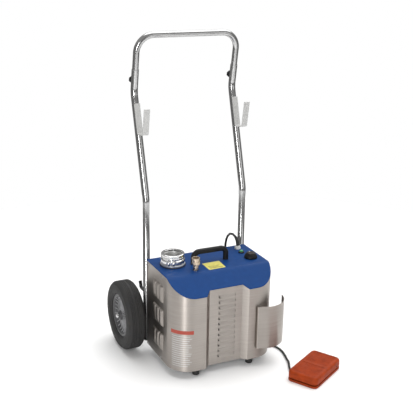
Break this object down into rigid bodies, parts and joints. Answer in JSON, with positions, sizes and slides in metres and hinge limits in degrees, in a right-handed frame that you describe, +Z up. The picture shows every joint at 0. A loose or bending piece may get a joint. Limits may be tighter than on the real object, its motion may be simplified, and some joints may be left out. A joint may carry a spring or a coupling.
{
  "type": "tube cleaning machine",
  "caption": "Wheeled rotary tube cleaner: motor in a stainless casing under a blue cover, quick-lock shaft collar, water inlet, hand cart with a sliding handle, and a foot switch on a lead.",
  "frame": {"origin": "on the floor, under the middle of the box around the machine and its foot switch", "axes": "+Z up, -Y towards the louvred front, +X to the right as seen from the front, along the axle"},
  "size_m": [0.6696, 0.6821, 1.1438],
  "materials": {
    "stainless": "vertical brushed grain, semi-gloss",
    "chrome": "bright chrome plate",
    "blue_paint": "glossy blue paint on steel",
    "grey_paint": "satin light grey paint",
    "black_paint": "satin black paint",
    "black_plastic": "fine moulded texture",
    "black_rubber": "matte",
    "tyre_rubber": "matte, lightly dusty",
    "rim_grey": "moulded dark grey",
    "brass": "machined",
    "zinc": "zinc plated",
    "motor_grey": "cast, painted",
    "rotor_steel": "machined steel",
    "white_plastic": "matte moulded",
    "green_lens": "clear green, glossy",
    "orange_rubber": "satin moulded"
  },
  "bodies": {
    "root": {"casing_shell": "stainless", "rear_panel": "stainless", "pouch": "stainless", "base_pan": "zinc", "axle": "zinc", "motor_stand": "zinc", "lower_bearing": "zinc", "upper_bearing": "zinc", "top_cover": "blue_paint", "left_upright": "chrome", "right_upright": "chrome", "left_hub_nut": "chrome", "right_hub_nut": "chrome", "coupling_base": "chrome", "left_foot": "black_rubber", "right_foot": "black_rubber", "coupling_gasket": "black_rubber", "inner_hose": "black_rubber", "cord_relief": "black_rubber", "mains_cord": "black_rubber", "mains_coil": "black_rubber", "mains_plug": "black_rubber", "foot_cord_to_coil": "black_rubber", "foot_coil": "black_rubber", "foot_cord": "black_rubber", "cord_hook": "black_plastic", "carry_handle": "black_plastic", "selector_switch": "black_plastic", "foot_lead_gland": "black_plastic", "left_hook": "grey_paint", "right_hook": "grey_paint", "terminal_box": "grey_paint", "lower_crossbar": "black_paint", "upper_crossbar": "black_paint", "left_axle_bracket": "black_paint", "right_axle_bracket": "black_paint", "water_inlet": "brass", "water_valve": "brass", "cord_gland": "white_plastic", "capacitor": "white_plastic", "pilot_lamp": "green_lens", "motor_bottom_bell": "motor_grey", "motor_body": "motor_grey", "motor_top_bell": "motor_grey", "foot_switch_base": "orange_rubber"},
    "left_wheel": {"left_tyre": "tyre_rubber", "left_rim": "rim_grey"},
    "right_wheel": {"right_tyre": "tyre_rubber", "right_rim": "rim_grey"},
    "handle": {"upper_handle": "chrome"},
    "left_knob": {"left_clamp_knob": "black_plastic"},
    "right_knob": {"right_clamp_knob": "black_plastic"},
    "collar": {"locking_collar": "chrome"},
    "rotor": {"motor_rotor": "rotor_steel", "cooling_fan": "black_plastic", "drive_socket": "rotor_steel"},
    "swivel": {"water_swivel": "brass"},
    "selector": {"selector_knob": "black_plastic"},
    "pedal": {"foot_pedal": "orange_rubber"}
  },
  "joints": [
    {"name": "left_wheel_turn", "type": "hinge", "parent": "root", "child": "left_wheel", "pos_m": [-0.29587, 0.21414, 0.127], "axis": [1, 0, 0], "continuous": true},
    {"name": "right_wheel_turn", "type": "hinge", "parent": "root", "child": "right_wheel", "pos_m": [0.20613, 0.21414, 0.127], "axis": [1, 0, 0], "continuous": true},
    {"name": "handle_slide", "type": "slide", "parent": "root", "child": "handle", "axis": [0, -0.1741, 0.9847], "range_m": [0, 0.035]},
    {"name": "left_knob_turn", "type": "hinge", "parent": "root", "child": "left_knob", "pos_m": [-0.23487, 0.26444, 0.97291], "axis": [0, 0.9847, 0.1741], "range_deg": [0, 360]},
    {"name": "right_knob_turn", "type": "hinge", "parent": "root", "child": "right_knob", "pos_m": [0.14513, 0.26444, 0.97291], "axis": [0, 0.9847, 0.1741], "range_deg": [0, 360]},
    {"name": "collar_turn", "type": "hinge", "parent": "root", "child": "collar", "pos_m": [-0.17387, 0.06814, 0.359], "axis": [0, 0, 1], "range_deg": [0, 60]},
    {"name": "rotor_turn", "type": "hinge", "parent": "root", "child": "rotor", "pos_m": [-0.17387, 0.06814, 0.2], "axis": [0, 0, 1], "continuous": true},
    {"name": "swivel_turn", "type": "hinge", "parent": "root", "child": "swivel", "pos_m": [-0.12087, -0.00886, 0.359], "axis": [0, 0, 1], "continuous": true},
    {"name": "selector_turn", "type": "hinge", "parent": "root", "child": "selector", "pos_m": [0.10913, 0.01814, 0.359], "axis": [0, 0, 1], "range_deg": [-45, 45]},
    {"name": "pedal_press", "type": "hinge", "parent": "root", "child": "pedal", "pos_m": [0.20483, -0.20706, 0.016], "axis": [0.866, 0.5, 0], "range_deg": [0, 2.2], "stiffness_Nm_per_rad": 3, "springref_deg": -6.88}
  ]
}
